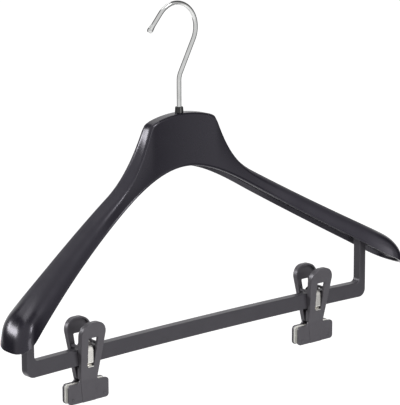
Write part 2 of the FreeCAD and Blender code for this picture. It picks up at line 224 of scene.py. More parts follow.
def startMaterial(name):
    material = bpy.data.materials.new(name)
    material.use_nodes = True
    nodes = material.node_tree.nodes
    return material, nodes, material.node_tree.links.new, nodes["Principled BSDF"]


def placeEffects(nodes, link, look):
    # grain and handling on the piece's own coordinates, with the values of one look
    place = nodes.new("ShaderNodeTexCoord").outputs["Object"]
    grainKeys = {"Grains per metre": "grains", "Ripple per metre": "ripples", "Ripple share": "rippleShare"}
    placed = []
    for group, keys in ((mouldGrain, grainKeys), (handling, {"Smears per metre": "smears"})):
        node = nodes.new("ShaderNodeGroup")
        node.node_tree = group
        link(place, node.inputs["Vector"])
        for label, key in keys.items():
            node.inputs[label].default_value = look[key]
        placed.append(node)
    return placed


def mixColours(nodes, link, mask, colourA, colourB):
    mix = nodes.new("ShaderNodeMix")
    mix.data_type = "RGBA"
    link(mask, mix.inputs["Factor"])
    mix.inputs["A"].default_value = (*colourA, 1)
    mix.inputs["B"].default_value = (*colourB, 1)
    return mix.outputs["Result"]


def mixValues(nodes, link, mask, a, b):
    mix = nodes.new("ShaderNodeMix")
    link(mask, mix.inputs["Factor"])
    link(a, mix.inputs["A"])
    link(b, mix.inputs["B"])
    return mix.outputs["Result"]


def mapValue(nodes, link, value, low, high):
    # 0 to 1 becomes low to high
    node = nodes.new("ShaderNodeMapRange")
    link(value, node.inputs["Value"])
    node.inputs["To Min"].default_value = low
    node.inputs["To Max"].default_value = high
    return node.outputs["Result"]


def addBump(nodes, link, shader, height, look):
    bump = nodes.new("ShaderNodeBump")
    bump.inputs["Strength"].default_value = look["bump"]
    bump.inputs["Distance"].default_value = look["bumpDepth"] * mm
    link(height, bump.inputs["Height"])
    link(bump.outputs["Normal"], shader.inputs["Normal"])


def mouldedPlastic(name, look):
    material, nodes, link, shader = startMaterial(name)
    grain, marks = placeEffects(nodes, link, look)
    height, patch, smear = grain.outputs["Height"], grain.outputs["Patch"], marks.outputs["Smear"]
    link(mixColours(nodes, link, patch, look["dark"], look["light"]), shader.inputs["Base Color"])
    roughness = mapValue(nodes, link, smear, *look["gloss"])
    if "satin" in look:
        # satin where the mesh says so, elsewhere polished with its grain pressed flat
        zone = nodes.new("ShaderNodeAttribute")
        zone.attribute_name = "satin"
        satin = zone.outputs["Fac"]
        rougher = mapValue(nodes, link, smear, *look["satin"])
        roughness = mixValues(nodes, link, satin, roughness, rougher)
        flatter = mapValue(nodes, link, height, *look["polishedGrain"])
        height = mixValues(nodes, link, satin, flatter, height)
    link(roughness, shader.inputs["Roughness"])
    shader.inputs["Specular Tint"].default_value = (*look["tint"], 1)
    addBump(nodes, link, shader, height, look)
    return material


def brightMetal(name, look):
    material, nodes, link, shader = startMaterial(name)
    grain, marks = placeEffects(nodes, link, look)
    smear = marks.outputs["Smear"]
    link(mixColours(nodes, link, smear, look["bright"], look["dull"]), shader.inputs["Base Color"])
    link(mapValue(nodes, link, smear, *look["gloss"]), shader.inputs["Roughness"])
    shader.inputs["Metallic"].default_value = 1.0
    addBump(nodes, link, shader, grain.outputs["Height"], look)
    return material


# finishes: counts are per metre, bumpDepth is in mm
shoulderLook = dict(
    dark=(0.0080, 0.0070, 0.0122), light=(0.0120, 0.0104, 0.0170), tint=(0.93, 0.90, 1.0),
    gloss=(0.24, 0.30), satin=(0.60, 0.68), polishedGrain=(0.46, 0.54),
    grains=2600.0, ripples=55.0, rippleShare=0.35, smears=38.0, bump=0.08, bumpDepth=0.05)
shoulderBlack = mouldedPlastic("shoulderBlack", shoulderLook)
collarLook = dict(
    dark=(0.004, 0.004, 0.005), light=(0.007, 0.007, 0.008), tint=(1, 1, 1), gloss=(0.12, 0.18),
    grains=3000.0, ripples=200.0, rippleShare=0.3, smears=120.0, bump=0.04, bumpDepth=0.03)
collarBlack = mouldedPlastic("collarBlack", collarLook)
# bar and clips: black plastic like the shoulders, with base colours lifted far above theirs; partly the
# plastic's own tone, partly painted light standing in for light from below and the front
barLookWithPaintedLight = dict(
    dark=(0.052, 0.049, 0.057), light=(0.064, 0.061, 0.070), tint=(0.95, 0.93, 1.0), gloss=(0.36, 0.44),
    grains=2600.0, ripples=70.0, rippleShare=0.3, smears=45.0, bump=0.10, bumpDepth=0.05)
barBlackWithPaintedLight = mouldedPlastic("barBlackWithPaintedLight", barLookWithPaintedLight)
clipLookWithPaintedLight = dict(
    dark=(0.088, 0.083, 0.093), light=(0.104, 0.099, 0.110), tint=(0.95, 0.93, 1.0), gloss=(0.36, 0.46),
    grains=2800.0, ripples=110.0, rippleShare=0.25, smears=80.0, bump=0.12, bumpDepth=0.05)
clipBlackWithPaintedLight = mouldedPlastic("clipBlackWithPaintedLight", clipLookWithPaintedLight)
hookLook = dict(
    bright=(0.64, 0.645, 0.64), dull=(0.55, 0.555, 0.55), gloss=(0.10, 0.17),
    grains=3000.0, ripples=60.0, rippleShare=0.1, smears=60.0, bump=0.04, bumpDepth=0.02)
hookSteel = brightMetal("hookSteel", hookLook)
springLook = dict(
    bright=(0.93, 0.91, 0.87), dull=(0.84, 0.82, 0.78), gloss=(0.16, 0.24),
    grains=4000.0, ripples=60.0, rippleShare=0.1, smears=150.0, bump=0.06, bumpDepth=0.02)
springSteel = brightMetal("springSteel", springLook)
# front pad: the ivory pad darkened to grey, painted shade standing in for the shadow on the front pad
paintedShadePadLook = dict(
    dark=(0.385, 0.38, 0.345), light=(0.465, 0.46, 0.42), tint=(1, 1, 1), gloss=(0.62, 0.75),
    grains=1800.0, ripples=160.0, rippleShare=0.3, smears=120.0, bump=0.25, bumpDepth=0.12)
paintedShadePad = mouldedPlastic("paintedShadePad", paintedShadePadLook)
ivoryPadLook = dict(
    dark=(0.78, 0.77, 0.73), light=(0.87, 0.86, 0.82), tint=(1, 1, 1), gloss=(0.60, 0.72),
    grains=1800.0, ripples=160.0, rippleShare=0.3, smears=120.0, bump=0.25, bumpDepth=0.12)
ivoryPad = mouldedPlastic("ivoryPad", ivoryPadLook)
print("materials ready:", len(bpy.data.materials))


# shoulders: one hollow moulding, drawn section by section from the middle to the rounded ends
shoulder = dict(
    width=424.0, neckWidth=70.8, neckThickness=10.6, crownDrop=5.6, crownStop=1.3, wall=2.2,
    backStart=14.7, backSlope=0.556, backReach=78.0, backPower=2.1,
    ridgeStart=20.1, ridgeSlope=0.556, ridgeReach=92.0, ridgePower=4.0, softness=2.5,
    lowStart=28.0, lowSlope=0.601, archDrop=44.5, archReach=79.0,
    frontSweep=57.8, backSweep=34.7, frontLean=(2.6, 4.0), backLean=5.5,
    backSkirt=2.2, skirtFade=(80.0, 180.0),
    ridgeRadius=(2.2, 4.4, 18.0), backRadius=(1.8, 3.4, 13.0),     # at the crown, below it and on the arm
    crownGrowth=(27.0, 38.0), radiusGrowth=(48.0, 175.0),
    endRadius=18.5, endReach=211.89, endFullness=dict(front=2.3, back=3.1, rise=2.6),
    tipTurn=88.0, tipSpacing=0.85, rimRadius=0.6, leastInner=0.3,
    topTilt=(0.45, 0.75), topSatin=(45.0, 48.0), frontSatin=(75.0, 110.0), satinEnd=(172.0, 198.0),
    bead=0.45, beadFade=(165.0, 190.0),
    armSteps=84, endSteps=22, faceSteps=7, arcSteps=12, rimSteps=4, sharp=50.0)
# bead over the front rim: mm up the wall, with shares of the bead outwards, or mm inwards below 0
beadShape = [(0.0, -0.7), (0.05, -0.2), (0.22, 0.45), (0.5, 0.85), (0.9, 1.0),
             (1.3, 0.75), (1.7, 0.3), (2.1, 0.06), (2.6, 0.0)]
insetTurns = [math.radians(10 * step) for step in range(-8, 9)]     # every 10 degrees to either side


def flareDrop(x, edge):
    # drop of an upper edge below the crown: over the neck, down its side and out along the arm
    s = shoulder
    x = abs(x)
    half = s["neckWidth"] / 2
    start, slope, reach, power = [s[edge + part] for part in ("Start", "Slope", "Reach", "Power")]
    lift = (start + slope * half - s["crownDrop"]) * max((reach - x) / (reach - half), 0.0) ** power
    crown = s["crownDrop"] * min(x / half, s["crownStop"]) ** 2
    side = start + slope * x - lift
    return (crown + side + math.hypot(crown - side, s["softness"])) / 2


def lowDrop(x):
    # drop of the front rim, arched under the neck
    s = shoulder
    x = abs(x)
    rise = s["archDrop"] - s["lowStart"]
    arch = rise * max(1 - x / s["archReach"], 0.0) ** (s["archReach"] * s["lowSlope"] / rise)
    return s["lowStart"] + s["lowSlope"] * x + arch


def backLowDrop(x):
    start, end = shoulder["skirtFade"]
    return lowDrop(x) + shoulder["backSkirt"] * min(max((end - abs(x)) / (end - start), 0.0), 1.0)


def insetDrop(x, edge, inset):
    # the same edge for the inner skin, a wall's thickness below the outer one
    if inset == 0:
        return flareDrop(x, edge)
    return max(flareDrop(x + inset * math.sin(turn), edge) + inset * math.cos(turn) for turn in insetTurns)


def skinSection(x, inset, past):
    # one skin of the wall at x: points from the front rim over the top to the back rim
    # past is 0 along the arm and 1 at the tip of its rounded end, where the section has shrunk to a point
    s = shoulder
    reach = s["width"] / 2
    front = -s["neckThickness"] / 2 - s["frontSweep"] * (x / reach) ** 2
    back = s["neckThickness"] / 2 - s["backSweep"] * (x / reach) ** 2
    front += inset * math.hypot(1, 2 * s["frontSweep"] * x / reach ** 2)
    back -= inset * math.hypot(1, 2 * s["backSweep"] * x / reach ** 2)
    growth = smoothStep(abs(x), *s["radiusGrowth"])
    lean = s["frontLean"][0] + (s["frontLean"][1] - s["frontLean"][0]) * growth
    level = lowDrop(x)
    corners = [(front - lean, level), (front, insetDrop(x, "ridge", inset)),
               (back, insetDrop(x, "back", inset)), (back + s["backLean"], backLowDrop(x))]
    middle = (corners[0][0] + corners[3][0]) / 2
    shares = {side: (1 - past ** fullness) ** (1 / fullness) for side, fullness in s["endFullness"].items()}
    share = min(shares.values())
    shrunk = []
    for y, drop in corners:
        side = shares["front"] if y < middle else shares["back"]
        z = crownZ - level - (drop - level) * shares["rise"]
        shrunk.append(Vector((middle + (y - middle) * side, z)))
    frontLow, ridge, backTop, backLow = shrunk
    crownEnd = smoothStep(abs(x), *s["crownGrowth"])
    radii = []
    for crownRadius, neckRadius, armRadius in (s["ridgeRadius"], s["backRadius"]):
        edge = crownRadius + (neckRadius - crownRadius) * crownEnd + (armRadius - neckRadius) * growth
        radii.append(max(edge - inset, s["leastInner"] * edge) * share)
    inward = Vector((1, 0)) if inset == 0 else Vector((-1, 0))
    rim = s["rimRadius"] * share
    if inset == 0:
        # rolled bead along the front rim, gone before the arm's end
        rise = (ridge - frontLow).normalized()
        outward = Vector((-rise.y, rise.x))
        bead = s["bead"] * (1 - smoothStep(abs(x), *s["beadFade"]))
        frontRim = []
        for along, out in beadShape:
            size = bead if out > 0 else 1.0
            frontRim.append(frontLow + (rise * along + outward * out * size) * share)
    else:
        frontRim = arcAround(frontLow, frontLow + inward, ridge, rim, len(beadShape) - 1)
    runs = [frontRim,
            arcAround(ridge, frontLow, backTop, radii[0], s["arcSteps"]),
            arcAround(backTop, ridge, backLow, radii[1], s["arcSteps"]),
            arcAround(backLow, backTop, backLow - inward, rim, s["rimSteps"])]
    path = list(runs[0])
    for run in runs[1:]:
        last = path[-1]
        path += [last.lerp(run[0], step / s["faceSteps"]) for step in range(1, s["faceSteps"])]
        path += run
    return path


def armLoops():
    # closed sections from the middle to one tip: the outer skin, then the inner one on the way back
    s = shoulder
    endStart = s["width"] / 2 - s["endRadius"]
    endLength = s["endReach"] - endStart
    stops = [(endStart * step / s["armSteps"], 0.0) for step in range(s["armSteps"] + 1)]
    for step in range(1, s["endSteps"] + 1):
        turn = math.radians(s["tipTurn"] * step / s["endSteps"])
        stops.append((endStart, math.sin(turn) ** s["tipSpacing"]))
    loops = []
    for x, past in stops:
        loop = []
        for inset in (0.0, s["wall"]):
            here = x + (endLength - inset) * past
            points = [(here, p.x, p.y) for p in skinSection(here, inset, past)]
            loop += points if inset == 0 else points[::-1]
        loops.append(loop)
    return loops


def buildShoulders():
    s = shoulder
    loops = armLoops()
    order = [[(-x, y, z) for x, y, z in loop] for loop in loops[:0:-1]] + loops
    size = len(loops[0])
    outerSize = size // 2
    points = [p for loop in order for p in loop]
    faces = ringFaces(len(order), size)
    for row, sign in ((0, -1), (len(order) - 1, 1)):
        # each tip closes on two poles, one for either skin
        poles = []
        for inset, part in ((0.0, order[row][:outerSize]), (s["wall"], order[row][outerSize:])):
            low = min(p[2] for p in part)
            side = sum(p[1] for p in part) / outerSize
            poles.append(len(points))
            points.append((sign * (s["endReach"] - inset), side, low))
        for k in range(size):
            n = (k + 1) % size
            first = poles[0] if k < outerSize else poles[1]
            second = poles[0] if n < outerSize else poles[1]
            corners = (row * size + k, row * size + n, second, first)
            faces.append(corners if first != second else corners[:3])
    piece = meshPiece("shoulders", points, faces, shoulderBlack)
    # satin on the top of the arms, fading in later on their front, none on the neck and the rounded ends
    zone = piece.data.attributes.new("satin", "FLOAT", "POINT")
    for vertex in piece.data.vertices:
        along = abs(vertex.co.x) / mm
        top = smoothStep(vertex.normal.z, *s["topTilt"])
        begun = top * smoothStep(along, *s["topSatin"]) + (1 - top) * smoothStep(along, *s["frontSatin"])
        zone.data[vertex.index].value = begun * (1 - smoothStep(along, *s["satinEnd"]))
    evenNormals(piece, s["sharp"])
    fit(piece, "hanger", "shoulder_shell")
    print("shoulders:", len(piece.data.polygons), "faces")


buildShoulders()
dress(frame["nodes"]["underside_cover"], shoulderBlack)


# swept pieces: a curve, a tree that sweeps it, and the plain mesh that comes out

def newTree(name, inputs):
    # an empty tree with its end nodes, and the identifier of each named input
    tree = bpy.data.node_groups.new(name, "GeometryNodeTree")
    ids = {}
    for label, kind in [("Geometry", "NodeSocketGeometry"), *inputs, ("finish", "NodeSocketMaterial")]:
        ids[label] = tree.interface.new_socket(label, in_out="INPUT", socket_type=kind).identifier
    tree.interface.new_socket("Geometry", in_out="OUTPUT", socket_type="NodeSocketGeometry")
    return tree, ids, tree.nodes.new("NodeGroupInput"), tree.nodes.new("NodeGroupOutput")


def sweepMesh(nodes, link, path, profile, upright):
    # profile along the path, closed at both ends and kept from twisting
    steady = nodes.new("GeometryNodeSetCurveNormal")
    steady.mode = "FREE"
    steady.inputs["Normal"].default_value = upright
    link(path, steady.inputs["Curve"])
    sweep = nodes.new("GeometryNodeCurveToMesh")
    link(steady.outputs["Curve"], sweep.inputs["Curve"])
    link(profile, sweep.inputs["Profile Curve"])
    sweep.inputs["Fill Caps"].default_value = True
    return sweep


def putOut(nodes, link, mesh, given, result):
    real = nodes.new("GeometryNodeRealizeInstances")
    link(mesh, real.inputs[0])
    paint = nodes.new("GeometryNodeSetMaterial")
    link(real.outputs[0], paint.inputs["Geometry"])
    link(given.outputs["finish"], paint.inputs["Material"])
    link(paint.outputs["Geometry"], result.inputs["Geometry"])


def pathCurve(name, points):
    curve = bpy.data.curves.new(name, "CURVE")
    curve.dimensions = "3D"
    spline = curve.splines.new("POLY")
    spline.points.add(len(points) - 1)
    for point, place in zip(spline.points, points):
        point.co = (*[c * mm for c in place], 1)
    holder = bpy.data.objects.new(name, curve)
    bpy.context.scene.collection.objects.link(holder)
    return holder


def sweptPiece(name, path, tree, ids, values, sharpAngle):
    holder = pathCurve(name + "Path", path)
    sweep = holder.modifiers.new("sweep", "NODES")
    sweep.node_group = tree
    for label, value in values.items():
        sweep[ids[label]] = value
    # the evaluated result becomes a plain mesh, and the curve it came from goes
    graph = bpy.context.evaluated_depsgraph_get()
    mesh = bpy.data.meshes.new_from_object(holder.evaluated_get(graph))
    mesh.name = name
    piece = bpy.data.objects.new(name, mesh)
    bpy.context.scene.collection.objects.link(piece)
    bpy.data.objects.remove(holder)
    closeSeams(mesh)
    mesh.shade_smooth()
    evenNormals(piece, sharpAngle)
    return piece


# hook: round wire swept along its path, with a flared tip and the head that holds it in the neck
hook = dict(
    wire=2.0, bendRadius=21.7, bendOffset=3.4, wrap=49.0, leg=11.5, stem=25.4, stemBend=14.0,
    tipRadius=2.65, tipLength=5.0, headRadius=3.3, headHeight=2.0, headZ=-106.804, collarTop=-84.504,
    # stops are shares of each straight run, close together at the head
    stemStops=(0, 0.0001, 0.02, 0.0399, 0.04, 0.06, 0.1, 0.2, 0.4, 0.6, 0.8),
    slantStops=(0.3, 0.6), legStops=(0.25, 0.5, 0.75),
    kneeSteps=14, bendSteps=60, tipSteps=8, ballSteps=10, sides=32, sharp=60.0)


def hookPath():
    h = hook
    inner = h["bendRadius"] - h["wire"]
    centre = Vector((-h["bendOffset"], -math.sqrt(inner ** 2 - h["bendOffset"] ** 2)))
    knee = Vector((0, h["collarTop"] + h["stem"]))
    span = centre - knee
    slant = math.atan2(span.x, span.y) + math.asin(h["bendRadius"] / span.length)
    touch = centre + Vector((math.cos(slant), -math.sin(slant))) * h["bendRadius"]
    finish = math.radians(90 + h["wrap"])
    bendEnd = centre + Vector((math.cos(finish), math.sin(finish))) * h["bendRadius"]
    leg = Vector((-math.sin(finish), math.cos(finish)))
    foot = Vector((0, h["headZ"] - h["headHeight"]))
    points = [foot.lerp(knee, share) for share in h["stemStops"]]
    points += arcAround(knee, foot, touch, h["stemBend"], h["kneeSteps"])
    points += [points[-1].lerp(touch, share) for share in h["slantStops"]]
    for step in range(h["bendSteps"] + 1):
        angle = -slant + (finish + slant) * step / h["bendSteps"]
        points.append(centre + Vector((math.cos(angle), math.sin(angle))) * h["bendRadius"])
    points += [bendEnd + leg * h["leg"] * share for share in h["legStops"]]
    for step in range(h["tipSteps"] + 1):
        points.append(bendEnd + leg * (h["leg"] + h["tipLength"] * step / h["tipSteps"]))
    last = points[-1]
    for step in range(1, h["ballSteps"] + 1):
        points.append(last + leg * h["tipRadius"] * math.sin(math.radians(90 * step / h["ballSteps"])))
    return [(p.x, 0, p.y) for p in points]


def wireTree():
    # round wire along the curve: a head at the start, full size between, a flared ball at the end
    lengths = ("wireRadius", "tipRadius", "tipLength", "headRadius", "headHeight")
    inputs = [(label, "NodeSocketFloat") for label in lengths] + [("sides", "NodeSocketInt")]
    tree, ids, given, result = newTree("wireSweep", inputs)
    nodes, link = tree.nodes, tree.links.new

    def maths(operation, a, b=None, clamp=False):
        node = nodes.new("ShaderNodeMath")
        node.operation = operation
        node.use_clamp = clamp
        for socket, value in zip(node.inputs, (a, b)):
            if value is None:
                continue
            if isinstance(value, (int, float)):
                socket.default_value = value
            else:
                link(value, socket)
        return node.outputs[0]

    place = nodes.new("GeometryNodeSplineParameter").outputs["Length"]
    whole = nodes.new("GeometryNodeSplineLength").outputs["Length"]
    radius, tip, taper = [given.outputs[label] for label in ("wireRadius", "tipRadius", "tipLength")]
    nearZero = 1e-12                                 # keeps the last ring of the ball open
    left = maths("SUBTRACT", whole, place)           # distance to the tip
    depth = maths("MAXIMUM", maths("SUBTRACT", tip, left), 0.0)
    squares = maths("SUBTRACT", maths("MULTIPLY", tip, tip), maths("MULTIPLY", depth, depth))
    ball = maths("SQRT", maths("MAXIMUM", squares, nearZero))
    grown = maths("SUBTRACT", 1.0, maths("DIVIDE", maths("SUBTRACT", left, tip), taper), True)
    flared = maths("ADD", radius, maths("MULTIPLY", grown, maths("SUBTRACT", tip, radius)))
    shaft = maths("MINIMUM", ball, flared)
    inHead = maths("LESS_THAN", place, given.outputs["headHeight"])
    wider = maths("SUBTRACT", given.outputs["headRadius"], radius)
    full = maths("ADD", shaft, maths("MULTIPLY", inHead, wider))
    size = nodes.new("GeometryNodeSetCurveRadius")
    link(given.outputs["Geometry"], size.inputs["Curve"])
    link(full, size.inputs["Radius"])
    ring = nodes.new("GeometryNodeCurvePrimitiveCircle")
    ring.inputs["Radius"].default_value = 1.0
    link(given.outputs["sides"], ring.inputs["Resolution"])
    sweep = sweepMesh(nodes, link, size.outputs["Curve"], ring.outputs["Curve"], (0, 1, 0))
    link(nodes.new("GeometryNodeInputRadius").outputs["Radius"], sweep.inputs["Scale"])
    putOut(nodes, link, sweep.outputs["Mesh"], given, result)
    return tree, ids


def buildHook():
    h = hook
    tree, ids = wireTree()
    values = {label: h[label] * mm for label in ("tipRadius", "tipLength", "headRadius", "headHeight")}
    values.update(wireRadius=h["wire"] * mm, sides=h["sides"], finish=hookSteel)
    piece = sweptPiece("hookWire", hookPath(), tree, ids, values, h["sharp"])
    fit(piece, "hook", "hook")
    print("hook:", len(piece.data.polygons), "faces")


buildHook()


# collar: turned ring that the wire passes through
collar = dict(
    top=-84.504, height=5.0, topRadius=3.4, baseRadius=3.7, bore=2.08, plugRadius=2.9, plugDepth=6.0,
    edge=0.5, foot=0.25, plugEdge=0.2, boreEdge=0.25, edgeSteps=6, sides=64, sharp=50.0)


def buildCollar():
    c = collar
    base = c["top"] - c["height"]
    low = base - c["plugDepth"]
    profile = roundedOutline([
        (c["bore"], low, 0), (c["plugRadius"], low, c["plugEdge"]), (c["plugRadius"], base, 0),
        (c["baseRadius"], base, c["foot"]), (c["topRadius"], c["top"], c["edge"]),
        (c["bore"], c["top"], c["boreEdge"])], c["edgeSteps"])
    points = []
    for turn in range(c["sides"]):
        angle = 2 * math.pi * turn / c["sides"]
        points += [(p.x * math.cos(angle), p.x * math.sin(angle), p.y) for p in profile]
    piece = meshPiece("collarRing", points, ringFaces(c["sides"], len(profile), closed=True), collarBlack)
    evenNormals(piece, c["sharp"])
    fit(piece, "hanger", "hook_collar")


buildCollar()
print("collar done")


# trouser bar: a slightly arched bar with a post at each end
bar = dict(
    length=374.4, height=13.3, thickness=8.0, camber=2.1, drop=184.8, corner=7.0, inner=4.0, post=7.4,
    edge=0.8, edgeSteps=4, edgeAngle=60.0, cornerSteps=10, innerSteps=8, steps=72, sharp=60.0)


def barLift(x):
    return bar["camber"] * (1 - (2 * x / bar["length"]) ** 2)


def archedRun(level, start, end):
    # points of an arched edge of the bar, from start to end
    steps = bar["steps"]
    stops = [start + (end - start) * step / steps for step in range(steps + 1)]
    return [Vector((x, level + barLift(x))) for x in stops]


def barOutline(postTop):
    # along the underside, up the right post, back along the top, then round the left post
    b = bar
    half = b["length"] / 2
    inside = half - b["post"]
    low = crownZ - b["drop"]
    shelf = low + b["height"]
    under = archedRun(low, -half + b["corner"], half - b["corner"])
    over = archedRun(shelf, inside - b["inner"], b["inner"] - inside)
    notch = shelf + barLift(inside)
    rightOut, rightIn = Vector((half, postTop)), Vector((inside, postTop))
    leftOut, leftIn = Vector((-half, postTop)), Vector((-inside, postTop))
    outline = list(under)
    outline += arcAround(Vector((half, low)), under[-1], rightOut, b["corner"], b["cornerSteps"])[1:]
    outline += [rightOut, rightIn]
    outline += arcAround(Vector((inside, notch)), rightIn, over[0], b["inner"], b["innerSteps"])
    outline += over[1:-1]
    outline += arcAround(Vector((-inside, notch)), over[-1], leftIn, b["inner"], b["innerSteps"])
    outline += [leftIn, leftOut]
    outline += arcAround(Vector((-half, low)), leftOut, under[0], b["corner"], b["cornerSteps"])[:-1]
    return outline


def buildBar(postTop):
    b = bar
    outline = barOutline(postTop)
    count = len(outline)
    sides = (barY - b["thickness"] / 2, barY + b["thickness"] / 2)
    points = [(p.x, y, p.y) for y in sides for p in outline]
    faces = [tuple(range(count)), tuple(range(2 * count - 1, count - 1, -1))]
    faces += ringFaces(2, count)
    piece = meshPiece("trouserBar", points, faces, barBlackWithPaintedLight)
    rounding = piece.modifiers.new("edgeRound", "BEVEL")
    rounding.width = b["edge"] * mm
    rounding.segments = b["edgeSteps"]
    rounding.limit_method = "ANGLE"
    rounding.angle_limit = math.radians(b["edgeAngle"])
    evenNormals(piece, b["sharp"])
    fit(piece, "hanger", "trouser_bar")


buildBar(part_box("trouser_bar")[1][2] / mm)
print("bar done")


# clips: levers come from the frame, springs and pads are made here
clip = dict(offset=126.2, plate=2.4, jawFace=2.55, jawRoot=20.0, cheek=0.85)
clip["middleZ"] = crownZ - bar["drop"] + barLift(clip["offset"]) + bar["height"] / 2
clipSides = (("left", -1), ("right", 1))
spring = dict(
    thickness=0.6, width=5.6, edgeRadius=0.12, sideGap=2.6, crown=5.0, knee=4.9, tuck=2.0, lip=0.5,
    windowBottom=8.3, seatGap=0.05, bendRadii=(0.8, 0.5, 0.5), blend=(9.0, -8.0),
    crownSteps=15, legStops=(0.25, 0.5, 0.75), bendSteps=5, edgeSteps=3, sharp=40.0)
pad = dict(
    width=40.0, low=-37.6, high=-22.0, corner=2.5, thickness=2.5, gap=0.05, edge=0.6,
    faceRows=((0.18, 0.3), (0.6, 0.0), (2.2, 0.0)),     # inset, and depth behind the face
    cornerSteps=6, sharp=60.0)


def leverInner(z):
    slope = (bar["thickness"] / 2 + clip["cheek"] - clip["jawFace"]) / (clip["jawRoot"] - bar["height"] / 2)
    return clip["jawFace"] + slope * max(z + clip["jawRoot"], 0.0)


def stripTree():
    # flat strip along the curve, with soft edges
    lengths = ("stripWidth", "stripThickness", "edgeRadius")
    tree, ids, given, result = newTree("stripSweep", [(label, "NodeSocketFloat") for label in lengths])
    nodes, link = tree.nodes, tree.links.new
    flat = nodes.new("GeometryNodeCurvePrimitiveQuadrilateral")
    link(given.outputs["stripWidth"], flat.inputs["Width"])
    link(given.outputs["stripThickness"], flat.inputs["Height"])
    soft = nodes.new("GeometryNodeFilletCurve")
    soft.mode = "POLY"
    link(flat.outputs["Curve"], soft.inputs["Curve"])
    soft.inputs["Count"].default_value = spring["edgeSteps"]
    link(given.outputs["edgeRadius"], soft.inputs["Radius"])
    sweep = sweepMesh(nodes, link, given.outputs["Geometry"], soft.outputs["Curve"], (1, 0, 0))
    putOut(nodes, link, sweep.outputs["Mesh"], given, result)
    return tree, ids


def springHalf(sign):
    # from the middle of the crown down one leg to the lip, as y and z about the clip's middle
    s = spring
    half = s["thickness"] / 2
    leg = bar["thickness"] / 2 + s["sideGap"] + half
    crown = bar["height"] / 2 + s["crown"] - half
    seat = leverInner(-s["windowBottom"]) + clip["plate"] + s["seatGap"] + half
    points = []
    for step in range(s["crownSteps"] + 1):
        turn = math.radians(90 * step / s["crownSteps"])
        points.append((leg * math.sin(turn), crown - leg + leg * math.cos(turn)))
    points += [(leg, crown - leg - (crown - leg + s["knee"]) * share) for share in s["legStops"]]
    # tucked in under the knee, then out over the window's lower edge to the lip
    level = -s["windowBottom"] + half
    bends = [Vector((leg, 0)), Vector((leg, -s["knee"])), Vector((leg - s["tuck"], level)),
             Vector((seat, level)), Vector((seat, -s["windowBottom"] - s["lip"]))]
    for k, radius in enumerate(s["bendRadii"], 1):
        arc = arcAround(bends[k], bends[k - 1], bends[k + 1], radius, s["bendSteps"])
        points += [tuple(p) for p in arc]
    points.append(tuple(bends[-1]))
    return [(sign * y, z) for y, z in points]


def buildSprings():
    s = spring
    tree, ids = stripTree()
    values = dict(stripWidth=s["width"] * mm, stripThickness=s["thickness"] * mm,
                  edgeRadius=s["edgeRadius"] * mm, finish=springSteel)
    for side, mark in clipSides:
        x = mark * clip["offset"]
        for face, sign in (("front", -1), ("rear", 1)):
            path = [(x, barY + y, clip["middleZ"] + z) for y, z in springHalf(sign)]
            piece = sweptPiece(side + face.capitalize() + "Spring", path, tree, ids, values, s["sharp"])
            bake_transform(piece)
            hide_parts(side + "_clip_spring")
    print("springs done")


def buildPads():
    p = pad
    half = p["width"] / 2
    corners = ((-half, p["low"]), (half, p["low"]), (half, p["high"]), (-half, p["high"]))
    outline = roundedOutline([(*corner, p["corner"]) for corner in corners], p["cornerSteps"])
    centre = Vector((0, (p["low"] + p["high"]) / 2))
    count = len(outline)
    rows = [(0.0, p["thickness"]), (0.0, p["edge"]), *p["faceRows"]]
    faces = ringFaces(len(rows), count)
    faces.append(tuple(range(count)))
    faces.append(tuple(range((len(rows) - 1) * count, len(rows) * count)))
    # the front pad takes the darkened copy, painted shade; the rear pad keeps the ivory
    kinds = (("front", -1, paintedShadePad, "grey_pad"), ("rear", 1, ivoryPad, "ivory_pad"))
    for side, mark in clipSides:
        for face, sign, material, slot in kinds:
            points = []
            for inset, depth in rows:
                y = barY + sign * (p["gap"] + depth)
                for place in outline:
                    inward = centre - place
                    q = place + inward * (inset / inward.length)
                    points.append((mark * clip["offset"] + q.x, y, clip["middleZ"] + q.y))
            piece = meshPiece(side + face.capitalize() + "Pad", points, faces, material)
            evenNormals(piece, p["sharp"])
            fit(piece, side + "_" + face, side + "_" + face + "_pad")
    print("pads done")


buildSprings()
buildPads()
# levers take the clips' lifted black, which is partly painted light from below and the front
for leverName in ("left_front_lever", "left_rear_lever", "right_front_lever", "right_rear_lever"):
    dress(frame["nodes"][leverName], clipBlackWithPaintedLight)


# studio: a white paper sweep far below the hanging object, soft lamps,
# and a surround that is white in front and behind and dark to the sides
studio = dict(
    axis=(0.658, 0.753, 0.0), floorZ=-1.2, floorWidth=3.0, floorLength=40.0,
    floorGrey=(0.60, 0.60, 0.60), floorRoughness=0.9, floorGlow=0.88,
    ambient=0.28, glossWhite=0.95, glossDark=0.10, frontEnd=(-0.25, 0.05), backStart=(0.55, 0.85))


def largerOf(nodes, link, a, b):
    node = nodes.new("ShaderNodeMath")
    node.operation = "MAXIMUM"
    link(a, node.inputs[0])
    link(b, node.inputs[1])
    return node.outputs[0]


def rayMasks(nodes, link):
    # rays that show the background, straight from the camera or through glass, and mirrored rays
    path = nodes.new("ShaderNodeLightPath")
    direct = largerOf(nodes, link, path.outputs["Is Camera Ray"], path.outputs["Is Transmission Ray"])
    return direct, path.outputs["Is Glossy Ray"]


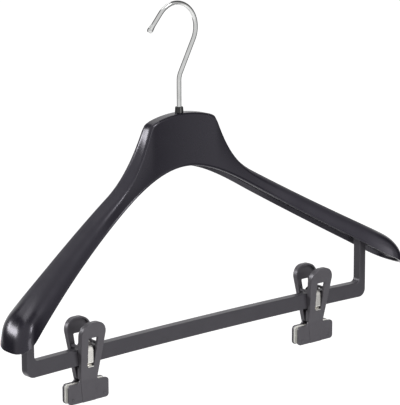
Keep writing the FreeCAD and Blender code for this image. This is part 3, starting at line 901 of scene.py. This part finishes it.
def buildFloor():
    along = Vector(studio["axis"]).normalized() * studio["floorLength"] / 2
    across = Vector((along.y, -along.x, 0)).normalized() * studio["floorWidth"] / 2
    level = Vector((0, 0, studio["floorZ"]))
    corners = [level - along - across, level - along + across,
               level + along + across, level + along - across]
    mesh = bpy.data.meshes.new("paperSweep")
    mesh.from_pydata([tuple(c) for c in corners], [], [(0, 1, 2, 3)])
    material, nodes, link, shader = startMaterial("paperWhite")
    shader.inputs["Base Color"].default_value = (*studio["floorGrey"], 1)
    shader.inputs["Roughness"].default_value = studio["floorRoughness"]
    # lifted to white where it is seen or mirrored, so that it keeps the shadow and adds no light
    glow = nodes.new("ShaderNodeEmission")
    glow.inputs["Strength"].default_value = studio["floorGlow"]
    add = nodes.new("ShaderNodeAddShader")
    pick = nodes.new("ShaderNodeMixShader")
    link(largerOf(nodes, link, *rayMasks(nodes, link)), pick.inputs["Fac"])
    link(shader.outputs["BSDF"], pick.inputs[1])
    link(shader.outputs["BSDF"], add.inputs[0])
    link(glow.outputs["Emission"], add.inputs[1])
    link(add.outputs["Shader"], pick.inputs[2])
    # open from below, so that it never hides the object
    side = nodes.new("ShaderNodeNewGeometry")
    clear = nodes.new("ShaderNodeBsdfTransparent")
    oneSided = nodes.new("ShaderNodeMixShader")
    link(side.outputs["Backfacing"], oneSided.inputs["Fac"])
    link(pick.outputs["Shader"], oneSided.inputs[1])
    link(clear.outputs["BSDF"], oneSided.inputs[2])
    link(oneSided.outputs["Shader"], nodes["Material Output"].inputs["Surface"])
    mesh.materials.append(material)
    floor = bpy.data.objects.new("paperSweep", mesh)
    bpy.context.scene.collection.objects.link(floor)


def buildSurround():
    world.use_nodes = True
    nodes, link = world.node_tree.nodes, world.node_tree.links.new
    background = nodes["Background"]
    direct, glossy = rayMasks(nodes, link)
    place = nodes.new("ShaderNodeTexCoord")
    ahead = nodes.new("ShaderNodeVectorMath")
    ahead.operation = "DOT_PRODUCT"
    link(place.outputs["Generated"], ahead.inputs[0])
    ahead.inputs[1].default_value = Vector(studio["axis"]).normalized()
    white = []
    for (low, high), shown in ((studio["frontEnd"], (1.0, 0.0)), (studio["backStart"], (0.0, 1.0))):
        edge = nodes.new("ShaderNodeMapRange")
        edge.interpolation_type = "SMOOTHSTEP"
        link(ahead.outputs["Value"], edge.inputs["Value"])
        edge.inputs["From Min"].default_value = low
        edge.inputs["From Max"].default_value = high
        edge.inputs["To Min"].default_value, edge.inputs["To Max"].default_value = shown
        white.append(edge.outputs["Result"])
    gloss = mapValue(nodes, link, largerOf(nodes, link, *white), studio["glossDark"], studio["glossWhite"])
    lit = nodes.new("ShaderNodeMix")
    link(glossy, lit.inputs["Factor"])
    lit.inputs["A"].default_value = studio["ambient"]
    link(gloss, lit.inputs["B"])
    whole = nodes.new("ShaderNodeMix")
    link(direct, whole.inputs["Factor"])
    link(lit.outputs["Result"], whole.inputs["A"])
    whole.inputs["B"].default_value = 1.0
    link(whole.outputs["Result"], background.inputs["Strength"])
    background.inputs["Color"].default_value = (1, 1, 1, 1)


# towards points from the object to the lamp; sizes and distances are in metres, power in watts
softboxes = [
    dict(name="backLeftBox", towards=(-0.635, 0.64, 0.37), distance=2.2, size=(0.85, 0.6), power=29.0,
         flagged="hookWire"),
    dict(name="frontTopBox", towards=(0.238, -0.653, 0.719), distance=2.2, size=(0.45, 0.45), power=15.0),
    dict(name="frontBox", towards=(0.05, -0.99, 0.08), distance=2.4, size=(1.2, 1.2), power=14.0,
         flagged="hookWire"),
    dict(name="overheadBox", towards=(0.05, 0.35, 0.93), distance=2.4, size=(1.6, 1.2), power=15.0),
]


def buildLamps(aim):
    for box in softboxes:
        lamp = bpy.data.lights.new(box["name"], "AREA")
        lamp.shape = "RECTANGLE"
        lamp.size, lamp.size_y = box["size"]
        lamp.energy = box["power"]
        holder = bpy.data.objects.new(box["name"], lamp)
        way = Vector(box["towards"]).normalized()
        holder.location = aim + way * box["distance"]
        holder.rotation_euler = way.to_track_quat("Z", "Y").to_euler()
        bpy.context.scene.collection.objects.link(holder)
        if "flagged" in box:
            # a flag keeps this lamp off the bright wire
            kept = bpy.data.collections.new(box["name"] + "Flag")
            kept.objects.link(bpy.data.objects[box["flagged"]])
            kept.collection_objects[0].light_linking.link_state = "EXCLUDE"
            holder.light_linking.receiver_collection = kept


# camera at the photograph's viewing angle
view = dict(yaw=41.168, pitch=13.125, roll=-0.203, distance=2.0, aim=(0.009447, -0.015, -0.164987),
            lens=216.0, sensor=36.0, farEnd=200.0)


def buildCamera():
    yaw, pitch, roll = [math.radians(view[key]) for key in ("yaw", "pitch", "roll")]
    back = Vector((-math.sin(yaw) * math.cos(pitch), -math.cos(yaw) * math.cos(pitch), math.sin(pitch)))
    right = Vector((math.cos(yaw), -math.sin(yaw), 0))
    up = back.cross(right)
    across = right * math.cos(roll) + up * math.sin(roll)
    upright = up * math.cos(roll) - right * math.sin(roll)
    place = Vector(view["aim"]) + back * view["distance"]
    data = bpy.data.cameras.new("photoView")
    data.lens = view["lens"]
    data.sensor_width = view["sensor"]
    data.sensor_fit = "HORIZONTAL"
    data.clip_end = view["farEnd"]
    camera = bpy.data.objects.new("photoView", data)
    rows = [(across[k], upright[k], back[k], place[k]) for k in range(3)]
    camera.matrix_world = Matrix((*rows, (0, 0, 0, 1)))
    bpy.context.scene.collection.objects.link(camera)
    bpy.context.scene.camera = camera


buildFloor()
buildSurround()
buildLamps(Vector(view["aim"]))
buildCamera()
bpy.context.scene.view_settings.view_transform = "Standard"
print("studio ready")
